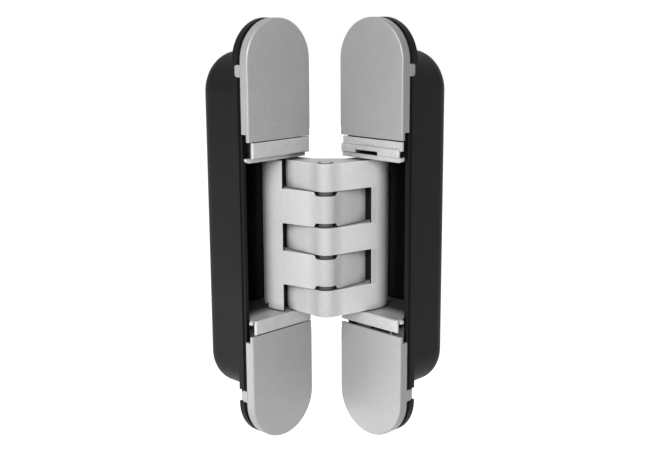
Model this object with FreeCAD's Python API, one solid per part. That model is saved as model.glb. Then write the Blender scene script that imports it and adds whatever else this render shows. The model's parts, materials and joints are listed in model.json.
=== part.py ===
import FreeCAD, Part
import math
import os

# Concealed three-way adjustable door hinge, drawn with the two leaves at 90 degrees.
# A leaf is described by s, across from its inner edge, d, depth behind the cover face, and z.

# leaf
leaf_width = 23.0
leaf_half_height = 59.1
edge_offset = 3.16  # from the mirror corner to the cover face of a leaf
side_offset = 2.71  # from the mirror corner to the inner edge of a leaf
body_margin = 0.5  # from the leaf's edge to the body
body_top_ratio = 0.846  # shares of the leaf's half height
body_bottom_ratio = 0.787
body_depth = 21.0
body_edge_radius = 4.5
body_wall = 0.9
rim_front = 2.9
rim_step = 4.0
rim_inset = 0.35
flange_back = 6.0

# fixing screws through the flange ends
fixing_hole_inset = 5.5  # from the end of the flange
fixing_hole_radius = 1.9
fixing_head_radius = 3.9

# covers
cover_skin = 0.9
cover_skirt = 1.1
cover_edge_radius = 0.45
cover_tongue = 2.0
tongue_inset = 0.4  # at the inner edge of a cover's tongue
cover_clearance = 0.15
upper_door_trim = 0.25  # the door leaf's covers are shorter by this
lower_door_trim = 0.35
tab_inset = 13.75  # from the end of the leaf to the middle of the tab
tab_height = 3.2
tab_thickness = 0.8
tab_depth = 1.9
tab_proud = 0.1
tab_fit = 0.15

# carriers
upper_arm_gap = 0.6  # from the arms to the carrier
lower_arm_gap = 0.3
upper_bar_height = 5.8  # from the carrier's seat to the cover
lower_bar_height = 4.3
bar_gap = 0.2  # from the front bar to the cover
wide_bar_gap = 0.9  # the same at the bottom of the door leaf
bar_inner_margin = 0.3
bar_outer_margin = 1.5
plate_margin = 0.7
bar_thickness = 0.8
root_margin = 3.6
root_depth = 6.0
jamb_plate_front = 1.5  # of the upper bearing plate
door_plate_front = 0.3
plate_depth = 1.3
plate_thickness = 1.2
plate_corner = 0.8
plate_groove = 0.2  # between a lower front bar and its bearing plate
lip_front = 1.8  # thin front of the shelf
bar_slot_from = 5.85
bar_slot_to = 14.0
bar_slot_height = 1.1
carrier_back = 12.2
carrier_fit = 0.35
shelf_wall = 0.7  # behind the guide groove
seat_thickness = 4.2
clamp_screw_ratio = 0.535
clamp_slot = 1.6
clamp_radius = 2.0
clamp_head_radius = 4.2
clamp_head_height = 2.2
adjust_screw_ratio = 0.684
adjust_radius = 2.6
adjust_head_radius = 3.6
adjust_head_height = 1.6
screw_fit = 0.2
clamp_boss_radius = 4.3
socket_across = 3.0
socket_depth = 1.6
ledge_height = 2.0  # above the front bar, in the door leaf
ledge_front = 0.55
ledge_back = 1.3

# pivots, seen in the door leaf at 90 degrees
centre_s = 3.85
arm_reach = 17.0
arm_reach_angle = 91.2
slide_beyond = 4.3  # slide pin past the reach of the fixed pivot
slide_reach_angle = 86.4
turn_ratio = 0.56
half_travel = 90.0
centre_pin_radius = 1.9
pivot_pin_radius = 1.5
slide_pin_radius = 1.3
pin_fit = 0.05
pin_seat = 2.8
glide_radius = 1.9
glide_fit = 0.05
slot_play = 0.5

# arms
arm_top_ratio = 0.342
arm_bottom_ratio = 0.384
knuckle_radius = 3.3
knuckle_ratio = 0.226  # a long knuckle's share of the arms' height
knuckle_gap = 0.2
spine_angle = 78.0
spine_short = 6.7  # straight face ends this far before the slide pin's reach
hook_radius = 8.0
hook_sweep = 62.0
slide_barrel_radius = 2.1
pivot_barrel_radius = 2.2
limb_inner_offset = 1.6
limb_start = 6.0
gusset_reach = 8.8
door_window_short = 3.9  # window edge before the reach of the fixed pivot
jamb_window_short = 4.7
spine_corner_radius = 1.3
finger_stop = 0.5
running_gap = 0.35
washer_thickness = 1.25
washer_radius = 2.45
washer_recess = 1.1
recess_slope = 0.6

# the rest follows from the sizes above
centre_d = -side_offset - edge_offset - centre_s
leaf_middle = leaf_width / 2.0
body_top = leaf_half_height * body_top_ratio
body_bottom = -leaf_half_height * body_bottom_ratio
fixing_hole_z = leaf_half_height - fixing_hole_inset
tab_z = leaf_half_height - tab_inset
clamp_screw_z = leaf_half_height * clamp_screw_ratio
adjust_screw_z = leaf_half_height * adjust_screw_ratio
arm_high = leaf_half_height * arm_top_ratio
arm_low = -leaf_half_height * arm_bottom_ratio
long_knuckle = (arm_high - arm_low) * knuckle_ratio
upper_seat = arm_high + upper_arm_gap
lower_seat = lower_arm_gap - arm_low
upper_cover_from = upper_seat + upper_bar_height
lower_cover_from = lower_seat + lower_bar_height
slide_reach = arm_reach + slide_beyond
spine_straight = slide_reach - spine_short
door_window_from = arm_reach - door_window_short
jamb_window_from = arm_reach - jamb_window_short
short_knuckle = (arm_high - arm_low - 2.0 * long_knuckle - 4.0 * knuckle_gap) / 3.0
mirror_normal = FreeCAD.Vector(1, 1, 0)
up = FreeCAD.Vector(0, 0, 1)
deep = FreeCAD.Vector(0, 1, 0)


def heading(angle):
    turn = math.radians(angle)
    return FreeCAD.Vector(math.cos(turn), math.sin(turn), 0)


def at(s, d, z=0.0):
    return FreeCAD.Vector(side_offset + s, edge_offset + d, z)


centre = at(centre_s, centre_d)
pivot = centre + heading(arm_reach_angle) * arm_reach
slide = centre + heading(slide_reach_angle) * slide_reach
mount_centre = FreeCAD.Vector(-edge_offset - flange_back, -side_offset - leaf_middle, 0)


def hinge_point(theta):
    """Centre pin in the leaf frame when the leaves stand theta degrees apart."""
    turn = arm_reach_angle + 180.0 + turn_ratio * (90.0 - theta)
    return pivot + heading(turn) * arm_reach


def slide_point(theta):
    turn = slide_reach_angle + (1.0 - turn_ratio) * (90.0 - theta)
    return hinge_point(theta) + heading(turn) * slide_reach


def cylinder(radius, low, high, point):
    base = FreeCAD.Vector(point.x, point.y, low)
    return Part.makeCylinder(radius, high - low, base, up)


def bore(radius, front, back, s, z):
    """Round bar along the depth of a leaf."""
    return Part.makeCylinder(radius, back - front, at(s, front, z), deep)


def block(s0, s1, d0, d1, z0, z1):
    return Part.makeBox(s1 - s0, d1 - d0, z1 - z0, at(s0, d0, z0))


def stadium(margin, low, high, front, back):
    """Round-ended plate, margin inside the leaf width, from one depth to another."""
    radius = leaf_middle - margin
    left = at(margin, front, low + radius)
    right = at(leaf_width - margin, front, low + radius)
    left_up = at(margin, front, high - radius)
    right_up = at(leaf_width - margin, front, high - radius)
    top = at(leaf_middle, front, high)
    bottom = at(leaf_middle, front, low)
    edges = [
        Part.LineSegment(left, left_up).toShape(),
        Part.Arc(left_up, top, right_up).toShape(),
        Part.LineSegment(right_up, right).toShape(),
        Part.Arc(right, bottom, left).toShape(),
    ]
    face = Part.Face(Part.Wire(edges))
    return face.extrude(deep * (back - front))


def round_back(shape, back, radius):
    """Rounds the edges that lie on the deepest face."""
    depth = edge_offset + back
    chosen = [e for e in shape.Edges if abs(e.BoundBox.YMin - depth) < 1e-4 and abs(e.BoundBox.YMax - depth) < 1e-4]
    return shape.makeFillet(radius, chosen)


def prism(edges, low, high):
    """Upright solid over a closed plan outline."""
    face = Part.Face(Part.Wire(edges))
    face.translate(up * low)
    return face.extrude(up * (high - low))


def plan(points, low, high):
    return prism([Part.LineSegment(a, b).toShape() for a, b in zip(points, points[1:] + points[:1])], low, high)


def capsule(start, end, radius, low, high):
    side = (end - start).cross(up).normalize() * radius
    body = plan([start + side, end + side, end - side, start - side], low, high)
    return body.fuse([cylinder(radius, low, high, start), cylinder(radius, low, high, end)])


def union(shapes):
    joined = shapes[0].fuse(shapes[1:]) if len(shapes) > 1 else shapes[0]
    return joined.removeSplitter()


def mirrored(shape):
    """The same piece in the jamb leaf."""
    return shape.mirror(FreeCAD.Vector(0, 0, 0), mirror_normal)


def save(name, shape):
    solids = shape.copy()
    solids.translate(mount_centre * -1.0)
    solids.exportStep("parts/" + name + ".step")


# housing

def notch_depth():
    """How deep the arms reach into the inner wall when the hinge is fully open."""
    hinge = hinge_point(180.0)
    turn = slide_reach_angle - (1.0 - turn_ratio) * half_travel
    reach = heading(turn)
    travel = (side_offset + body_margin + body_wall - hinge.x) / reach.x
    centreline = hinge.y + reach.y * travel - edge_offset
    return centreline + (limb_inner_offset + 0.6) / reach.x


def housing():
    flange = stadium(0.0, -leaf_half_height, leaf_half_height, rim_step, flange_back)
    rim = stadium(rim_inset, -leaf_half_height + rim_inset, leaf_half_height - rim_inset, rim_front, rim_step)
    body = round_back(stadium(body_margin, body_bottom, body_top, rim_step, body_depth), body_depth, body_edge_radius)
    shell = union([flange, rim, body])
    margin = body_margin + body_wall
    floor = body_depth - body_wall
    hollow = stadium(margin, body_bottom + body_wall, body_top - body_wall, rim_front - 1.0, floor)
    shell = shell.cut(round_back(hollow, floor, body_edge_radius - body_wall))
    bosses = []
    for side in (1, -1):
        z = side * clamp_screw_z
        bosses.append(bore(clamp_boss_radius, carrier_back, body_depth - body_wall / 2.0, leaf_middle, z))
        bosses.append(bore(clamp_boss_radius, carrier_back, body_depth - body_wall / 2.0, leaf_middle, side * adjust_screw_z))
    shell = union([shell] + bosses)
    cuts = []
    for side in (1, -1):
        z = side * fixing_hole_z
        cuts.append(bore(fixing_hole_radius, rim_front - 1.0, flange_back + 1.0, leaf_middle, z))
        sink = fixing_head_radius - fixing_hole_radius
        cuts.append(Part.makeCone(fixing_head_radius, fixing_hole_radius, sink, at(leaf_middle, rim_front, z), deep))
        cuts.append(bore(clamp_radius, carrier_back - 1.0, floor, leaf_middle, side * clamp_screw_z))
        cuts.append(bore(adjust_radius - 0.8, carrier_back - 1.0, floor, leaf_middle, side * adjust_screw_z))
        low = side * tab_z - tab_height / 2.0 - tab_fit
        high = side * tab_z + tab_height / 2.0 + tab_fit
        wide = tab_thickness + tab_fit - tab_proud
        cuts.append(block(-1.0, wide, rim_front - 1.0, flange_back, low, high))
        cuts.append(block(leaf_width - wide, leaf_width + 1.0, rim_front - 1.0, flange_back, low, high))
    cuts.append(block(-1.0, margin + 1.0, rim_front - 1.0, notch_depth(), arm_low - 0.3, arm_high + 0.5))
    return shell.cut(cuts)


# covers

def cover(start, side):
    """Round-ended cap with a skirt, clipped into the flange by a tab on each edge."""
    end = leaf_half_height
    skin = stadium(0.0, -end, end, 0.0, rim_front - cover_clearance)
    edges = [e for e in skin.Edges if abs(e.BoundBox.YMax - edge_offset) < 1e-4]
    skin = skin.makeFillet(cover_edge_radius, edges)
    hollow = stadium(cover_skirt, -end + cover_skirt, end - cover_skirt, cover_skin, rim_front)
    cap = skin.cut(hollow)
    skirt_start = start + cover_tongue
    cap = cap.cut([
        block(-1, leaf_width + 1, -1, rim_front + 1, -end - 1, start),
        block(-1, leaf_width + 1, cover_skin, rim_front + 1, start - 1, skirt_start),
        block(-1, tongue_inset, -1, rim_front + 1, start - 1, skirt_start + 0.4),
    ])
    tabs = []
    for s0 in (-tab_proud, leaf_width - tab_thickness + tab_proud):
        low = tab_z - tab_height / 2.0
        front = rim_front - cover_clearance
        tab = block(s0, s0 + tab_thickness, front, rim_front + tab_depth, low, low + tab_height)
        tabs.append(round_tab(tab))
    cap = union([cap] + tabs)
    if side < 0:
        cap = cap.mirror(FreeCAD.Vector(0, 0, 0), up)
    return cap


def round_tab(tab):
    depth = edge_offset + rim_front + tab_depth
    corners = [e for e in tab.Edges if e.BoundBox.YMin > depth - 1e-4 and e.BoundBox.XLength > 0.5]
    return tab.makeFillet(0.8, corners)


# carriers

def screw_seat(z, radius, head_radius, head_height, travel):
    """Slotted hole with a sunk seat for the head."""
    cuts = []
    head_floor = rim_step + 1.2 + head_height
    for size, back in ((radius + screw_fit, carrier_back + 1.0), (head_radius + screw_fit, head_floor)):
        for shift in (-travel / 2.0, travel / 2.0):
            cuts.append(bore(size, rim_front, back, leaf_middle + shift, z))
        if travel > 0.0:
            cuts.append(block(leaf_middle - travel / 2.0, leaf_middle + travel / 2.0, rim_front, back, z - size, z + size))
    return cuts


def front_bar(seat, bar_low, bar_high):
    """Thin upright plate at the front of a carrier, with the root that joins it to the shelf."""
    face = block(bar_inner_margin, leaf_width - bar_outer_margin, 0.0, bar_thickness, bar_low, bar_high)
    face = face.makeFillet(0.4, [e for e in face.Edges if e.BoundBox.YMax < edge_offset + 1e-4])
    low = max(bar_low, seat + 0.5)
    root = block(root_margin, leaf_width - root_margin, bar_thickness / 2.0, root_depth, low, bar_high - 0.3)
    return [face, root]


def bearing_plate(seat, front, back):
    """Plate that the arms pass, rounded at its outer corner, with its root."""
    plate = block(plate_margin, leaf_width - plate_margin, front, back, seat, seat + plate_thickness)
    corner = side_offset + leaf_width - plate_margin
    outer = [e for e in plate.Edges if e.BoundBox.ZMax < seat + 1e-4 and e.BoundBox.XMin > corner - 1e-4]
    plate = plate.makeFillet(plate_corner, outer)
    root = block(root_margin, leaf_width - root_margin, front + 0.2, root_depth, seat, seat + plate_thickness)
    return [plate, root]


def carrier(seat, bar_high, ledge, side):
    """Cast block that holds the pivot pin and guides the slide pin."""
    margin = body_margin + body_wall + carrier_fit
    end = (body_top if side > 0 else -body_bottom) - body_wall - carrier_fit
    core = stadium(margin, -end, end, rim_step + 1.2, carrier_back)
    core = core.cut(block(-1, leaf_width + 1, 0, body_depth, -end - 1, seat))
    shelf_back = slide_point(0.0).y - edge_offset + glide_radius + slot_play + shelf_wall
    shelf = block(margin, leaf_width - margin, rim_step + 1.2, shelf_back, seat, seat + seat_thickness)
    lip = block(margin, leaf_width - margin, lip_front, root_depth, seat, seat + plate_thickness)
    if side > 0:
        bar_low = seat + plate_thickness
        plate_front = door_plate_front if ledge else jamb_plate_front
        pieces = [core, shelf, lip] + bearing_plate(seat, plate_front, plate_front + plate_depth)
    else:
        bar_low = seat
        pieces = [core, shelf, lip] + bearing_plate(seat, bar_thickness + plate_groove, lip_front + 0.2)
    bar_top = bar_high - ledge_height if ledge else bar_high
    pieces += front_bar(seat, bar_low, bar_top)
    if ledge:
        low = bar_top - 0.5
        pieces.append(block(plate_margin, leaf_width - plate_margin, ledge_front, ledge_back, low, bar_high))
        pieces.append(block(root_margin, leaf_width - root_margin, ledge_front + 0.3, root_depth, low, bar_high))
    made = union(pieces)
    cuts = screw_seat(clamp_screw_z, clamp_radius, clamp_head_radius, clamp_head_height, clamp_slot)
    cuts += screw_seat(adjust_screw_z, adjust_radius, adjust_head_radius, adjust_head_height, 0.0)
    cuts.append(cylinder(pivot_pin_radius, seat - 1.0, seat + pin_seat, pivot))
    cuts.append(guide_slot(seat - 1.0, seat + pin_seat + 0.3))
    if ledge:
        slot_top = bar_low + bar_slot_height
        cuts.append(block(bar_slot_from, bar_slot_to, -1.0, root_depth - 0.5, bar_low, slot_top))
    made = made.cut(cuts)
    if side < 0:
        made = made.mirror(FreeCAD.Vector(0, 0, 0), up)
    return made


def guide_slot(low, high):
    """Groove along the path that the slide pin takes over the whole travel."""
    path = [slide_point(15.0 * i) for i in range(13)]
    deepest = max(path, key=lambda p: p.y)
    nearest = min(path, key=lambda p: p.y)
    return capsule(nearest, deepest, glide_radius + slot_play, low, high)


# screws

def socket_screw(z, radius, head_radius, head_height, tip):
    seat = rim_step + 1.2 + head_height
    head = bore(head_radius, seat - head_height, seat, leaf_middle, z)
    front = [e for e in head.Edges if abs(e.BoundBox.YMax - edge_offset - seat + head_height) < 1e-4]
    head = head.makeFillet(0.5, front)
    shank = bore(radius, seat, tip, leaf_middle, z)
    corners = []
    for i in range(6):
        turn = math.radians(60.0 * i)
        reach = socket_across / 2.0 / math.cos(math.radians(30.0))
        corners.append(at(leaf_middle + reach * math.cos(turn), seat - head_height - 0.1, z + reach * math.sin(turn)))
    face = Part.Face(Part.makePolygon(corners + corners[:1]))
    return head.fuse(shank).cut(face.extrude(deep * (socket_depth + 0.1)))


# arms

def spine_face():
    """Foot and direction of the flat outer face of a spine."""
    along = heading(spine_angle)
    outward = heading(spine_angle - 90.0)
    return centre + outward * knuckle_radius, along, outward


def hook(window_from, low, high):
    """Curved part of the arm that reaches into its own leaf."""
    foot, along, outward = spine_face()
    edge = foot + along * window_from
    bend = foot + along * spine_straight
    hub = bend - outward * hook_radius
    middle = hub + heading(spine_angle - 90.0 + hook_sweep / 2.0) * hook_radius
    tip = hub + heading(spine_angle - 90.0 + hook_sweep) * hook_radius
    slide_way = heading(slide_reach_angle)
    inward = heading(slide_reach_angle + 90.0)
    barrel_side = slide + inward * slide_barrel_radius
    inner = centre + slide_way * window_from + inward * limb_inner_offset
    edges = [
        Part.LineSegment(edge, bend).toShape(),
        Part.Arc(bend, middle, tip).toShape(),
        Part.LineSegment(tip, slide).toShape(),
        Part.LineSegment(slide, barrel_side).toShape(),
        Part.LineSegment(barrel_side, inner).toShape(),
        Part.LineSegment(inner, edge).toShape(),
    ]
    return union([prism(edges, low, high), cylinder(slide_barrel_radius, low, high, slide)])


def limb(window_from, low, high):
    """Part of a knuckle that joins it to its spine."""
    foot, along, outward = spine_face()
    slide_way = heading(slide_reach_angle)
    inward = heading(slide_reach_angle + 90.0)
    reach = window_from + 0.5
    points = [
        centre,
        foot,
        foot + along * reach,
        centre + slide_way * reach + inward * limb_inner_offset,
        centre + slide_way * limb_start + inward * knuckle_radius * 0.9,
        centre + inward * knuckle_radius,
    ]
    return plan(points, low, high)


def finger(stop, grow, low, high):
    """Limb that crosses to the pivot pin of the other leaf, drawn in the door leaf."""
    along = heading(arm_reach_angle)
    outward = heading(arm_reach_angle - 90.0)
    full = knuckle_radius + grow
    slim = pivot_barrel_radius + grow
    end = stop + grow
    points = [
        centre + outward * full,
        centre + along * end + outward * full,
        centre + along * (end + 0.5) + outward * slim,
        pivot + outward * slim,
        pivot - outward * slim,
        centre + along * (end - 1.0) - outward * full,
        centre - outward * full,
    ]
    return [plan(points, low, high), cylinder(slim, low, high, pivot)]


def knuckle(window_from, stop, low, high):
    """One knuckle with its limb to the spine and its finger to the other leaf."""
    hub = cylinder(knuckle_radius, low, high, centre)
    across = [mirrored(s) for s in finger(stop, 0.0, low, high)]
    slide_way = heading(slide_reach_angle)
    cross_way = heading(arm_reach_angle)
    near = centre + slide_way * gusset_reach + heading(slide_reach_angle + 90.0) * knuckle_radius * 0.9
    far_door = centre + cross_way * gusset_reach + heading(arm_reach_angle + 90.0) * knuckle_radius * 0.9
    far = FreeCAD.Vector(-far_door.y, -far_door.x, 0)
    gusset = plan([centre, near, far], low, high)
    return union([hub, limb(window_from, low, high), gusset] + across)


def turned(shape, angle):
    moved = shape.copy()
    moved.rotate(centre, up, angle)
    return moved


def swing():
    """Angle that the other leaf's pivot turns about the centre pin, each way from 90 degrees."""
    return (2.0 * turn_ratio - 1.0) * half_travel


def sector(inner, outer, low, high):
    """Ring sector about the centre pin over the swing of the other leaf's pivot."""
    rays = [heading(arm_reach_angle + turn) for turn in (-swing(), 0.0, swing())]
    edges = [
        Part.LineSegment(centre + rays[0] * inner, centre + rays[0] * outer).toShape(),
        Part.Arc(centre + rays[0] * outer, centre + rays[1] * outer, centre + rays[2] * outer).toShape(),
        Part.LineSegment(centre + rays[2] * outer, centre + rays[2] * inner).toShape(),
        Part.Arc(centre + rays[2] * inner, centre + rays[1] * inner, centre + rays[0] * inner).toShape(),
    ]
    return prism(edges, low, high)


def pin_path(radius, low, high):
    """Space that the other leaf's pivot pin sweeps past the arm."""
    pin = cylinder(radius, low, high, pivot)
    ring = sector(arm_reach - radius, arm_reach + radius, low, high)
    return turned(pin, -swing()).fuse([ring, turned(pin, swing())])


def finger_path(stop, low, high):
    """Space that a finger of the other arm sweeps past the arm."""
    pieces = finger(stop, running_gap, low, high)
    middle = sector(knuckle_radius, arm_reach + pivot_barrel_radius + running_gap, low, high)
    return middle.fuse([turned(p, turn) for p in pieces for turn in (-swing(), swing())])


def levels():
    """Bottom and top of the five knuckles, from the top down."""
    spans = []
    top = arm_high
    for height in (short_knuckle, long_knuckle, short_knuckle, long_knuckle, short_knuckle):
        spans.append((top - height, top))
        top -= height + knuckle_gap
    return spans


def spine_corner(end):
    """Cutter that rounds a spine's corner at one end of the arms, where its upper or lower window opens."""
    foot, along, outward = spine_face()
    sweep = arm_reach + pivot_barrel_radius + running_gap
    edge = math.sqrt(sweep ** 2 - knuckle_radius ** 2)
    side = math.copysign(1.0, end)
    slant = spine_corner_radius * (1.0 - math.sqrt(0.5))

    def spot(reach, drop):
        return foot - outward * 10.0 + along * (edge + reach) + up * (end - side * drop)

    edges = [
        Part.LineSegment(spot(spine_corner_radius, 0.0), spot(spine_corner_radius, -1.0)).toShape(),
        Part.LineSegment(spot(spine_corner_radius, -1.0), spot(-1.0, -1.0)).toShape(),
        Part.LineSegment(spot(-1.0, -1.0), spot(-1.0, spine_corner_radius)).toShape(),
        Part.LineSegment(spot(-1.0, spine_corner_radius), spot(0.0, spine_corner_radius)).toShape(),
        Part.Arc(spot(0.0, spine_corner_radius), spot(slant, slant), spot(spine_corner_radius, 0.0)).toShape(),
    ]
    return Part.Face(Part.Wire(edges)).extrude(outward * 12.0)


def washer_pocket(low, high):
    """Shallow recess with sloped sides for a washer, across the face of a knuckle."""
    wide = washer_radius + 0.25
    slope = wide + recess_slope
    flat = cylinder(wide, low, high, centre)
    face = [
        FreeCAD.Vector(-wide, 0, low),
        FreeCAD.Vector(wide, 0, low),
        FreeCAD.Vector(slope, 0, high),
        FreeCAD.Vector(-slope, 0, high),
    ]
    section = Part.Face(Part.makePolygon(face + face[:1]))
    trough = section.extrude(deep * (2.0 * knuckle_radius + gusset_reach))
    trough.rotate(FreeCAD.Vector(0, 0, 0), up, -135.0)
    trough.translate(centre)
    return [flat, trough]


def arm(window_from, own, other_stop, own_stop):
    """Arm with its spine in the door leaf and its knuckles at the given levels."""
    spans = levels()
    body = hook(window_from, arm_low, arm_high)
    parts = [body]
    for i in own:
        parts.append(knuckle(window_from, own_stop, spans[i][0], spans[i][1]))
    made = union(parts)
    pin_room = pivot_pin_radius + running_gap
    cuts = [pin_path(pin_room, spans[i][0] - knuckle_gap, spans[i][1] + knuckle_gap) for i in own]
    if 0 not in own:
        cuts.append(pin_path(pin_room, arm_low - 1.0, spans[4][1]))
        cuts.append(pin_path(pin_room, spans[0][0], arm_high + 1.0))
        cuts += [spine_corner(arm_high), spine_corner(arm_low)]
    for i in range(5):
        if i not in own:
            cuts.append(finger_path(other_stop, spans[i][0] - knuckle_gap, spans[i][1] + knuckle_gap))
    made = made.cut(cuts)
    holes = [cylinder(centre_pin_radius + (0.0 if 0 in own else pin_fit), arm_low - 1, arm_high + 1, centre)]
    holes.append(cylinder(slide_pin_radius, arm_low - 1, arm_high + 1, slide))
    holes.append(mirrored(cylinder(pivot_pin_radius + pin_fit, arm_low - 1, arm_high + 1, pivot)))
    return made.cut(holes)


# assembly

def washers(door_spans):
    made = []
    for i in (1, 3):
        low, high = door_spans[i]
        for base in (high - washer_recess, low + washer_recess - washer_thickness):
            disc = cylinder(washer_radius, base, base + washer_thickness, centre)
            made.append(disc.cut(cylinder(centre_pin_radius + pin_fit, base - 1, base + 2, centre)))
    return made


def recessed(shape, spans):
    cuts = []
    for i in (1, 3):
        low, high = spans[i]
        cuts += washer_pocket(high - washer_recess, high + 0.01)
        for solid in washer_pocket(high - washer_recess, high + 0.01):
            flipped = solid.mirror(FreeCAD.Vector(0, 0, (low + high) / 2.0), up)
            cuts.append(flipped)
    return shape.cut(cuts)


def leaf(name, upper_start, lower_start, lower_gap, ledge, finish):
    """Writes every piece that one leaf carries."""
    save(name + "_housing", finish(housing()))
    save(name + "_upper_carrier", finish(carrier(upper_seat, upper_cover_from - bar_gap, ledge, 1)))
    save(name + "_lower_carrier", finish(carrier(lower_seat, lower_start - lower_gap, False, -1)))
    save(name + "_upper_cover", finish(cover(upper_start, 1)))
    save(name + "_lower_cover", finish(cover(lower_start, -1)))
    clamp_tip = body_depth - body_wall - 1.0
    for label, side in (("upper", 1), ("lower", -1)):
        clamp = socket_screw(side * clamp_screw_z, clamp_radius, clamp_head_radius, clamp_head_height, clamp_tip)
        adjust = socket_screw(side * adjust_screw_z, adjust_radius - 0.8, adjust_head_radius, adjust_head_height, clamp_tip)
        save(name + "_" + label + "_clamp_screw", finish(clamp))
        save(name + "_" + label + "_adjusting_screw", finish(adjust))
    save(name + "_pivot_pin", finish(cylinder(pivot_pin_radius, -lower_seat - pin_seat, upper_seat + pin_seat, pivot)))


def slider(name, finish):
    """Writes the slide pin of one arm with the glide on each end."""
    save(name + "_slide_pin", finish(cylinder(slide_pin_radius, -lower_seat - pin_seat, upper_seat + pin_seat, slide)))
    for label, low in (("upper", upper_seat + 0.1), ("lower", -lower_seat - pin_seat)):
        glide = cylinder(glide_radius, low, low + pin_seat - 0.1, slide)
        hole = cylinder(slide_pin_radius + glide_fit, low - 1, low + pin_seat + 1, slide)
        save(name + "_" + label + "_glide", finish(glide.cut(hole)))


def same(shape):
    return shape


os.makedirs("parts", exist_ok=True)
leaf("jamb", upper_cover_from, lower_cover_from, bar_gap, False, mirrored)
leaf("door", upper_cover_from + upper_door_trim, lower_cover_from + lower_door_trim, wide_bar_gap, True, same)
door_finger_stop = jamb_window_from - finger_stop
jamb_finger_stop = door_window_from - finger_stop
save("door_arm", arm(door_window_from, (0, 2, 4), jamb_finger_stop, door_finger_stop))
jamb_arm = recessed(arm(jamb_window_from, (1, 3), door_finger_stop, jamb_finger_stop), levels())
save("jamb_arm", mirrored(jamb_arm))
slider("door", same)
slider("jamb", mirrored)
axle = cylinder(centre_pin_radius, arm_low + 0.1, arm_high + 0.05, centre)
save("centre_pin", axle.makeChamfer(0.35, [e for e in axle.Edges if e.BoundBox.ZLength < 1e-4]))
for label, shape in zip(("first", "second", "third", "fourth"), washers(levels())):
    save(label + "_washer", shape)
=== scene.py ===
import bpy
import json
import math
from mathutils import Matrix, Vector


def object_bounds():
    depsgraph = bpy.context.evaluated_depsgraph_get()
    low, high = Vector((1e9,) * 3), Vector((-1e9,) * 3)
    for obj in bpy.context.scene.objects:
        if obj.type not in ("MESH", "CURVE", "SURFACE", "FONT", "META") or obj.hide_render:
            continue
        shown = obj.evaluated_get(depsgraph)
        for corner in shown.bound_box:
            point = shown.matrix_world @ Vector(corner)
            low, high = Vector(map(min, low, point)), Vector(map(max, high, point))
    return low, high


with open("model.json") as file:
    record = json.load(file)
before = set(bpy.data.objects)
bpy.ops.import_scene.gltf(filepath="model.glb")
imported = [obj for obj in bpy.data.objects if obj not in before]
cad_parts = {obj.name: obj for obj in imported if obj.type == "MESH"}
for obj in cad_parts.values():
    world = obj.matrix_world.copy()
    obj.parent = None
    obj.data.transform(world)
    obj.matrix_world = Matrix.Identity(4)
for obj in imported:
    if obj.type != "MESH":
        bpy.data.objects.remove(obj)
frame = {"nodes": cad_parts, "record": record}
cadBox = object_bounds()
print("hinge loaded:", len(frame["nodes"]), "nodes")

mm = 0.001


# camera

viewpoint = {
    "place": (0.21708, -0.19495, 0.06285),
    "looks": (-0.6905, 0.6936, -0.2054),
    "lean": 0.00666,  # clockwise tilt of the picture
    "lens": 58.66,
}


def makeCamera():
    data = bpy.data.cameras.new("viewCamera")
    data.lens = viewpoint["lens"]
    data.sensor_width = 36.0
    data.clip_start = 0.01
    data.clip_end = 20.0
    camera = bpy.data.objects.new("viewCamera", data)
    bpy.context.scene.collection.objects.link(camera)
    forward = Vector(viewpoint["looks"]).normalized()
    right = forward.cross(Vector((0, 0, 1))).normalized()
    down = forward.cross(right).normalized()
    lean = viewpoint["lean"]
    right, down = (right * math.cos(lean) + down * math.sin(lean),
                   down * math.cos(lean) - right * math.sin(lean))
    turn = Matrix((right, -down, -forward)).transposed()
    camera.matrix_world = Matrix.Translation(viewpoint["place"]) @ turn.to_4x4()
    bpy.context.scene.camera = camera
    return camera


makeCamera()
print("camera placed")


# studio

studio = {
    "middle": (0.010, 0.013, 0.0),
    "floorDrop": 0.16,  # the hinge hangs over the floor
    "fill": 0.15,
    "floorGlow": 0.95,  # how white the floor shows, before its shadow
    "lamps": [
        # name, turn from the camera, height angle, distance, width, height, power
        ("lampFront", -15.0, 25.0, 0.95, 0.60, 0.60, 11.6),
        ("lampRight", 50.0, 14.0, 0.95, 0.60, 0.90, 0.8),
        ("lampLow", -84.0, -20.0, 0.50, 0.40, 0.12, 0.46),
    ],
}


def makeLamp(name, turn, rise, distance, wide, high, power):
    data = bpy.data.lights.new(name, "AREA")
    data.shape = "RECTANGLE"
    data.size = wide
    data.size_y = high
    data.energy = power
    lamp = bpy.data.objects.new(name, data)
    bpy.context.scene.collection.objects.link(lamp)
    middle = Vector(studio["middle"])
    azimuth = math.radians(-45.0 + turn)
    rise = math.radians(rise)
    away = Vector((math.cos(azimuth) * math.cos(rise), math.sin(azimuth) * math.cos(rise), math.sin(rise)))
    lamp.location = middle + away * distance
    lamp.rotation_mode = "QUATERNION"
    lamp.rotation_quaternion = (-away).to_track_quat("-Z", "Y")
    return lamp


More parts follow.
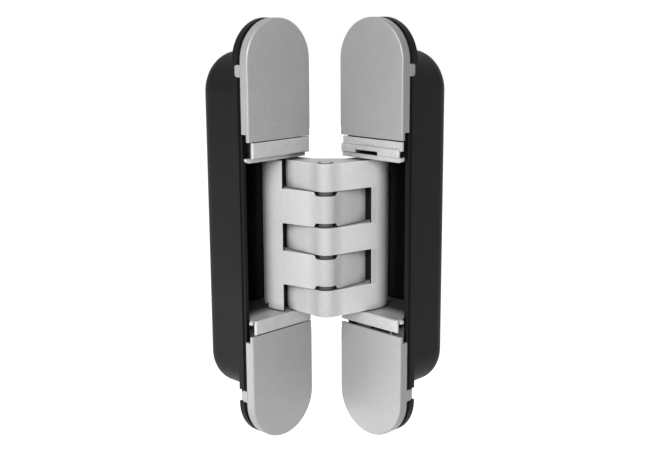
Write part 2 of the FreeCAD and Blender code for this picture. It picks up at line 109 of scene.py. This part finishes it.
def makeWorld():
    world = bpy.data.worlds.new("studioWorld")
    bpy.context.scene.world = world
    world.use_nodes = True
    tree = world.node_tree
    tree.nodes.clear()
    path = tree.nodes.new("ShaderNodeLightPath")
    seen = tree.nodes.new("ShaderNodeMath")
    seen.operation = "MAXIMUM"
    tree.links.new(path.outputs["Is Camera Ray"], seen.inputs[0])
    through = tree.nodes.new("ShaderNodeMath")
    through.operation = "MAXIMUM"
    tree.links.new(path.outputs["Is Glossy Ray"], through.inputs[0])
    tree.links.new(path.outputs["Is Transmission Ray"], through.inputs[1])
    tree.links.new(through.outputs[0], seen.inputs[1])
    plain = tree.nodes.new("ShaderNodeBackground")
    plain.inputs["Color"].default_value = (1, 1, 1, 1)
    plain.inputs["Strength"].default_value = studio["fill"]
    white = tree.nodes.new("ShaderNodeBackground")
    white.inputs["Color"].default_value = (1, 1, 1, 1)
    white.inputs["Strength"].default_value = 1.0
    mix = tree.nodes.new("ShaderNodeMixShader")
    tree.links.new(seen.outputs[0], mix.inputs[0])
    tree.links.new(plain.outputs[0], mix.inputs[1])
    tree.links.new(white.outputs[0], mix.inputs[2])
    out = tree.nodes.new("ShaderNodeOutputWorld")
    tree.links.new(mix.outputs[0], out.inputs["Surface"])


def makeFloor():
    low = cadBox[0].z - studio["floorDrop"]
    mesh = bpy.data.meshes.new("floor")
    size = 4.0
    mesh.from_pydata([(-size, -size, low), (size, -size, low), (size, size, low), (-size, size, low)], [], [(0, 1, 2, 3)])
    floor = bpy.data.objects.new("floor", mesh)
    bpy.context.scene.collection.objects.link(floor)
    material = bpy.data.materials.new("floorPaint")
    material.use_nodes = True
    tree = material.node_tree
    tree.nodes.clear()
    path = tree.nodes.new("ShaderNodeLightPath")
    paint = tree.nodes.new("ShaderNodeBsdfDiffuse")
    paint.inputs["Color"].default_value = (0.85, 0.85, 0.85, 1)
    glow = tree.nodes.new("ShaderNodeEmission")
    glow.inputs["Color"].default_value = (1, 1, 1, 1)
    seen = tree.nodes.new("ShaderNodeMath")
    seen.operation = "MAXIMUM"
    tree.links.new(path.outputs["Is Camera Ray"], seen.inputs[0])
    tree.links.new(path.outputs["Is Glossy Ray"], seen.inputs[1])
    strength = tree.nodes.new("ShaderNodeMath")
    strength.operation = "MULTIPLY"
    strength.inputs[1].default_value = studio["floorGlow"]
    tree.links.new(seen.outputs[0], strength.inputs[0])
    tree.links.new(strength.outputs[0], glow.inputs["Strength"])
    add = tree.nodes.new("ShaderNodeAddShader")
    tree.links.new(paint.outputs[0], add.inputs[0])
    tree.links.new(glow.outputs[0], add.inputs[1])
    out = tree.nodes.new("ShaderNodeOutputMaterial")
    tree.links.new(add.outputs[0], out.inputs["Surface"])
    mesh.materials.append(material)
    return floor


makeWorld()
makeFloor()
for lamp in studio["lamps"]:
    makeLamp(*lamp)
bpy.context.scene.view_settings.view_transform = "Standard"
print("studio lit")


# finishes

def newFinish(name):
    material = bpy.data.materials.new(name)
    material.use_nodes = True
    tree = material.node_tree
    tree.nodes.clear()
    out = tree.nodes.new("ShaderNodeOutputMaterial")
    shader = tree.nodes.new("ShaderNodeBsdfPrincipled")
    tree.links.new(shader.outputs[0], out.inputs["Surface"])
    return material, tree, shader


def noiseAt(tree, scale, detail=3.0, stretch=None):
    place = tree.nodes.new("ShaderNodeTexCoord")
    noise = tree.nodes.new("ShaderNodeTexNoise")
    noise.inputs["Scale"].default_value = scale
    noise.inputs["Detail"].default_value = detail
    if stretch:
        mapping = tree.nodes.new("ShaderNodeMapping")
        mapping.inputs["Scale"].default_value = stretch
        tree.links.new(place.outputs["Object"], mapping.inputs["Vector"])
        tree.links.new(mapping.outputs[0], noise.inputs["Vector"])
    else:
        tree.links.new(place.outputs["Object"], noise.inputs["Vector"])
    return noise.outputs["Fac"]


def spread(tree, value, low, high, fromLow=0.3, fromHigh=0.7):
    node = tree.nodes.new("ShaderNodeMapRange")
    node.inputs["From Min"].default_value = fromLow
    node.inputs["From Max"].default_value = fromHigh
    node.inputs["To Min"].default_value = low
    node.inputs["To Max"].default_value = high
    tree.links.new(value, node.inputs["Value"])
    return node.outputs["Result"]


# colour scaled by a grey factor
def shade(tree, colour, factor):
    node = tree.nodes.new("ShaderNodeVectorMath")
    node.operation = "SCALE"
    tree.links.new(factor, node.inputs["Scale"])
    if isinstance(colour, tuple):
        node.inputs[0].default_value = colour[:3]
    else:
        tree.links.new(colour, node.inputs[0])
    return node.outputs[0]


def times(tree, a, b):
    node = tree.nodes.new("ShaderNodeMath")
    node.operation = "MULTIPLY"
    tree.links.new(a, node.inputs[0])
    if isinstance(b, float):
        node.inputs[1].default_value = b
    else:
        tree.links.new(b, node.inputs[1])
    return node.outputs[0]


# softened normal near edges, and how much of an edge it is
def edgeOf(tree, radius):
    bevel = tree.nodes.new("ShaderNodeBevel")
    bevel.samples = 6
    bevel.inputs["Radius"].default_value = radius
    geometry = tree.nodes.new("ShaderNodeNewGeometry")
    dot = tree.nodes.new("ShaderNodeVectorMath")
    dot.operation = "DOT_PRODUCT"
    tree.links.new(bevel.outputs[0], dot.inputs[0])
    tree.links.new(geometry.outputs["Normal"], dot.inputs[1])
    return bevel.outputs[0], spread(tree, dot.outputs["Value"], 1.0, 0.0, 0.80, 0.985)


# 1 in the open, lower in narrow gaps and corners; the finishes darken their colour by it, as painted shade
def creviceOf(tree, reach):
    crevice = tree.nodes.new("ShaderNodeAmbientOcclusion")
    crevice.samples = 6
    crevice.inputs["Distance"].default_value = reach
    return crevice.outputs["AO"]


# 1 where a value lies between two limits, else 0
def within(tree, value, low, high):
    above = tree.nodes.new("ShaderNodeMath")
    above.operation = "GREATER_THAN"
    above.inputs[1].default_value = low
    tree.links.new(value, above.inputs[0])
    below = tree.nodes.new("ShaderNodeMath")
    below.operation = "LESS_THAN"
    below.inputs[1].default_value = high
    tree.links.new(value, below.inputs[0])
    return times(tree, above.outputs[0], below.outputs[0])


# x, y, z of a point on the piece, and of the face it lies on
def placeAndFacing(tree):
    coordinates = tree.nodes.new("ShaderNodeTexCoord")
    place = tree.nodes.new("ShaderNodeSeparateXYZ")
    tree.links.new(coordinates.outputs["Object"], place.inputs[0])
    facing = tree.nodes.new("ShaderNodeSeparateXYZ")
    tree.links.new(coordinates.outputs["Normal"], facing.inputs[0])
    return coordinates, place.outputs, facing.outputs


def grainBump(tree, shader, normal, heights):
    last = normal
    for value, strength, depth in heights:
        bump = tree.nodes.new("ShaderNodeBump")
        bump.inputs["Strength"].default_value = strength
        bump.inputs["Distance"].default_value = depth
        tree.links.new(value, bump.inputs["Height"])
        if last is not None:
            tree.links.new(last, bump.inputs["Normal"])
        last = bump.outputs[0]
    tree.links.new(last, shader.inputs["Normal"])


# the arms only: painted shade near black on the windows' end walls beside the fingers and the fingers' deep ends, a
# ring painted near black round the pin, painted shade on the hub, and painted light on the door arm's outer faces
armPaintedLight = {
    "hubCentre": (0.01572, 0.00765, 0.0),
    "hubRadius": 0.0033,
    "hubPaintedShade": 0.78,
    "limbPaintedLight": 1.12,  # painted light on the door arm's outer faces
    "fingerRows": ((0.0026, 0.0125), (-0.0150, -0.0052)),  # where the jamb arm's fingers show among them
    "wallPaintedShade": 0.05,
    "jambWall": (0.0005, 0.0120),  # the jamb arm's windows end at an x between these
    "doorWall": (0.0115, 0.0235),  # the door arm's windows end at a y between these
    "doorFinger": 0.0020,  # fingers are painted dark, as shade, past these places
    "jambFinger": 0.0217,
    "pinRim": (0.0018, 0.0023),
}


def both(tree, *masks):
    value = masks[0]
    for mask in masks[1:]:
        value = times(tree, value, mask)
    return value


def either(tree, *masks):
    value = masks[0]
    for mask in masks[1:]:
        node = tree.nodes.new("ShaderNodeMath")
        node.operation = "MAXIMUM"
        tree.links.new(value, node.inputs[0])
        tree.links.new(mask, node.inputs[1])
        value = node.outputs[0]
    return value


# how far a point lies from the centre pin's line
def fromHub(tree, coordinates):
    flat = tree.nodes.new("ShaderNodeVectorMath")
    flat.operation = "MULTIPLY"
    flat.inputs[1].default_value = (1.0, 1.0, 0.0)
    tree.links.new(coordinates.outputs["Object"], flat.inputs[0])
    away = tree.nodes.new("ShaderNodeVectorMath")
    away.operation = "DISTANCE"
    away.inputs[1].default_value = armPaintedLight["hubCentre"]
    tree.links.new(flat.outputs[0], away.inputs[0])
    return away.outputs["Value"]


def armShade(tree):
    coordinates, place, facing = placeAndFacing(tree)
    away = fromHub(tree, coordinates)
    # painted shade near black on the windows' end walls and the fingers' deep ends, and a ring painted near black
    # round the pin
    dark = either(
        tree,
        both(tree, within(tree, facing["X"], 0.5, 1.1), within(tree, place["X"], *armPaintedLight["jambWall"])),
        both(tree, within(tree, facing["Y"], -1.1, -0.5), within(tree, place["Y"], *armPaintedLight["doorWall"])),
        both(tree, within(tree, facing["Y"], -1.1, -0.98), within(tree, place["Y"], 0.0050, 0.0068),
             within(tree, place["X"], -1.0, armPaintedLight["doorFinger"])),
        both(tree, within(tree, facing["X"], 0.98, 1.1), within(tree, place["X"], 0.0168, 0.0183),
             within(tree, place["Y"], armPaintedLight["jambFinger"], 1.0)),
        both(tree, within(tree, facing["Z"], 0.5, 1.1), within(tree, away, *armPaintedLight["pinRim"])),
    )
    # painted shade dulls the hub's curved face
    onHub = spread(tree, away, 1.0, 0.0, armPaintedLight["hubRadius"], armPaintedLight["hubRadius"] + 0.0015)
    onHub = times(tree, onHub, within(tree, facing["Z"], -0.5, 0.5))
    hub = spread(tree, onHub, 1.0, armPaintedLight["hubPaintedShade"], 0.0, 1.0)
    # painted light lifts the door arm's outer faces, apart from the jamb arm's fingers among them
    rows = [within(tree, place["Z"], *row) for row in armPaintedLight["fingerRows"]]
    finger = both(tree, either(tree, *rows), within(tree, place["Y"], -1.0, 0.0213))
    limb = both(tree, spread(tree, facing["X"], 0.0, 1.0, 0.2, 0.95), spread(tree, finger, 1.0, 0.0, 0.0, 1.0))
    tone = times(tree, hub, spread(tree, limb, 1.0, armPaintedLight["limbPaintedLight"], 0.0, 1.0))
    return times(tree, tone, spread(tree, dark, 1.0, armPaintedLight["wallPaintedShade"], 0.0, 1.0))


# the carriers only: painted shade makes their level faces go dark inside the pockets
shelfPaintedShade = {
    "deepPaintedShade": 0.12,
    "jambFade": (-0.0030, 0.0016),  # dark at the first x, light at the second
    "doorFade": (0.0218, 0.0264),  # light at the first y, dark at the second
}


def shelfShade(tree):
    coordinates, place, facing = placeAndFacing(tree)
    deep = shelfPaintedShade["deepPaintedShade"]
    fade = times(tree, spread(tree, place["X"], deep, 1.0, *shelfPaintedShade["jambFade"]),
                 spread(tree, place["Y"], 1.0, deep, *shelfPaintedShade["doorFade"]))
    level = either(tree, within(tree, facing["Z"], 0.5, 1.1), within(tree, facing["Z"], -1.1, -0.5))
    upright = spread(tree, level, 1.0, 0.0, 0.0, 1.0)
    return either(tree, fade, upright)


# the door leaf's covers only: painted shade on the skirts on the outer side, and painted light and shade making the
# lower cover a little lighter than the upper
coverPaintedLight = {"skirtPaintedShade": 0.74, "lowerPaintedLight": 1.05, "upperPaintedShade": 0.93, "doorFrom": 0.008}


def skirtShade(tree):
    coordinates, place, facing = placeAndFacing(tree)
    # painted shade darkens the outer skirts
    skirt = both(tree, spread(tree, facing["X"], 0.0, 1.0, 0.3, 0.9), within(tree, place["X"], coverPaintedLight["doorFrom"], 1.0))
    onDoor = within(tree, place["X"], coverPaintedLight["doorFrom"], 1.0)
    # painted light and shade: the lower cover lighter, the upper darker
    height = spread(tree, place["Z"], coverPaintedLight["lowerPaintedLight"], coverPaintedLight["upperPaintedShade"], -0.001, 0.001)
    tone = either(tree, times(tree, height, onDoor), spread(tree, onDoor, 1.0, 0.0, 0.0, 1.0))
    return times(tree, tone, spread(tree, skirt, 1.0, coverPaintedLight["skirtPaintedShade"], 0.0, 1.0))


silverLooks = {
    "silver_cover": {"colour": (0.327, 0.325, 0.327), "shine": 0.5, "rough": 0.44, "metal": 0.35, "grain": 0.6, "edge": 0.12, "edgeRadius": 0.00010, "paintedShade": 0.35, "reach": 0.0022, "openAt": 0.66, "mottle": 0.02},
    "silver_carrier": {"colour": (0.474, 0.473, 0.474), "shine": 0.5, "rough": 0.40, "metal": 0.35, "grain": 0.8, "edge": 0.15, "edgeRadius": 0.00010, "paintedShade": 0.95, "reach": 0.0050, "openAt": 0.66, "mottle": 0.07},
    "silver_arm": {"colour": (0.502, 0.500, 0.502), "shine": 0.3, "rough": 0.52, "metal": 0.05, "grain": 0.7, "edge": 0.80, "edgeRadius": 0.00022, "paintedShade": 0.85, "reach": 0.0034, "openAt": 0.86, "mottle": 0.025},
}


def silverFinish(slot):
    look = silverLooks[slot]
    material, tree, shader = newFinish(slot + "_finish")
    shader.inputs["Metallic"].default_value = look["metal"]
    shader.inputs["Specular IOR Level"].default_value = look["shine"]
    soft, edge = edgeOf(tree, look["edgeRadius"])
    cloudy = noiseAt(tree, 90.0, 4.0)
    fine = noiseAt(tree, 2600.0, 2.0)
    mottled = noiseAt(tree, 420.0, 5.0)
    tone = times(tree, spread(tree, cloudy, 0.98, 1.02), spread(tree, fine, 0.94, 1.06))
    tone = times(tree, tone, spread(tree, mottled, 1.0 - look["mottle"], 1.0 + 0.6 * look["mottle"]))
    # painted highlight: the colour is lightened along edges
    paintedEdgeHighlight = spread(tree, edge, 1.0, 1.0 + look["edge"], 0.0, 1.0)
    # painted shade: the colour darkens in narrow gaps and corners
    paintedShade = spread(tree, creviceOf(tree, look["reach"]), 1.0 - look["paintedShade"], 1.0, 0.22, look["openAt"])
    # each kind of piece adds its own painted light and shade to it
    if slot == "silver_arm":
        paintedShade = times(tree, paintedShade, armShade(tree))
    if slot == "silver_cover":
        paintedShade = times(tree, paintedShade, skirtShade(tree))
    if slot == "silver_carrier":
        paintedShade = times(tree, paintedShade, shelfShade(tree))
    colour = shade(tree, look["colour"], times(tree, times(tree, tone, paintedEdgeHighlight), paintedShade))
    tree.links.new(colour, shader.inputs["Base Color"])
    rough = spread(tree, cloudy, look["rough"] - 0.04, look["rough"] + 0.05)
    tree.links.new(rough, shader.inputs["Roughness"])
    grain = noiseAt(tree, 5200.0, 2.0)
    grainBump(tree, shader, soft, [(grain, 0.16 * look["grain"], 0.00006), (cloudy, 0.05, 0.0004)])
    return material


blackLook = {"colour": (0.0031, 0.0031, 0.0033), "rough": 0.50, "edge": 0.9, "edgeRadius": 0.00022, "shine": 0.11}


def blackFinish(slot):
    material, tree, shader = newFinish(slot + "_finish")
    shader.inputs["Specular IOR Level"].default_value = blackLook["shine"]
    soft, edge = edgeOf(tree, blackLook["edgeRadius"])
    cloudy = noiseAt(tree, 45.0, 3.0)
    # painted highlight: the black is lightened along edges
    paintedEdgeHighlight = spread(tree, edge, 1.0, 1.0 + blackLook["edge"], 0.0, 1.0)
    tone = times(tree, spread(tree, cloudy, 0.85, 1.15), paintedEdgeHighlight)
    tree.links.new(shade(tree, blackLook["colour"], tone), shader.inputs["Base Color"])
    tree.links.new(spread(tree, cloudy, blackLook["rough"] - 0.05, blackLook["rough"] + 0.06), shader.inputs["Roughness"])
    grain = noiseAt(tree, 3800.0, 2.0)
    grainBump(tree, shader, soft, [(grain, 0.22, 0.00008)])
    return material


smallLooks = {
    "steel_pin": {"colour": (0.40, 0.40, 0.41), "rough": 0.28, "metal": 1.0, "stretch": (1.0, 1.0, 12.0)},
    "zinc_screw": {"colour": (0.55, 0.55, 0.52), "rough": 0.34, "metal": 1.0, "stretch": (1.0, 1.0, 1.0)},
    "glide_plastic": {"colour": (0.05, 0.05, 0.052), "rough": 0.5, "metal": 0.0, "stretch": (1.0, 1.0, 1.0)},
    "dark_washer": {"colour": (0.048, 0.048, 0.050), "rough": 0.46, "metal": 0.0, "stretch": (1.0, 1.0, 6.0)},
}


def smallFinish(slot):
    look = smallLooks[slot]
    material, tree, shader = newFinish(slot + "_finish")
    shader.inputs["Metallic"].default_value = look["metal"]
    soft, edge = edgeOf(tree, 0.00012)
    lines = noiseAt(tree, 1800.0, 3.0, look["stretch"])
    # painted highlight: the colour is lightened along edges
    tone = times(tree, spread(tree, lines, 0.9, 1.1), spread(tree, edge, 1.0, 1.25, 0.0, 1.0))
    # painted shade: the colour goes nearly black in narrow gaps and corners
    paintedShade = spread(tree, creviceOf(tree, 0.0012), 0.05, 1.0, 0.30, 0.80)
    if slot == "steel_pin":  # a ring on the upward bevel round the centre pin is painted near black
        coordinates, place, facing = placeAndFacing(tree)
        rim = both(tree, within(tree, facing["Z"], 0.3, 1.1), within(tree, fromHub(tree, coordinates), 0.0013, 0.0020))
        paintedShade = times(tree, paintedShade, spread(tree, rim, 1.0, 0.04, 0.0, 1.0))
    tree.links.new(shade(tree, look["colour"], times(tree, tone, paintedShade)), shader.inputs["Base Color"])
    tree.links.new(spread(tree, lines, look["rough"] - 0.05, look["rough"] + 0.07), shader.inputs["Roughness"])
    grainBump(tree, shader, soft, [(lines, 0.12, 0.00005)])
    return material


finishes = {"black_housing": blackFinish("black_housing")}
for slotName in silverLooks:
    finishes[slotName] = silverFinish(slotName)
for slotName in smallLooks:
    finishes[slotName] = smallFinish(slotName)

slotOfNode = {part["node"]: part["material_slot"] for part in frame["record"]["subparts"]}
for nodeName, node in frame["nodes"].items():
    finish = finishes[slotOfNode[nodeName]]
    if not node.material_slots:
        node.data.materials.append(finish)
    for place in node.material_slots:
        place.material = finish
print("finishes on", len(finishes), "slots")
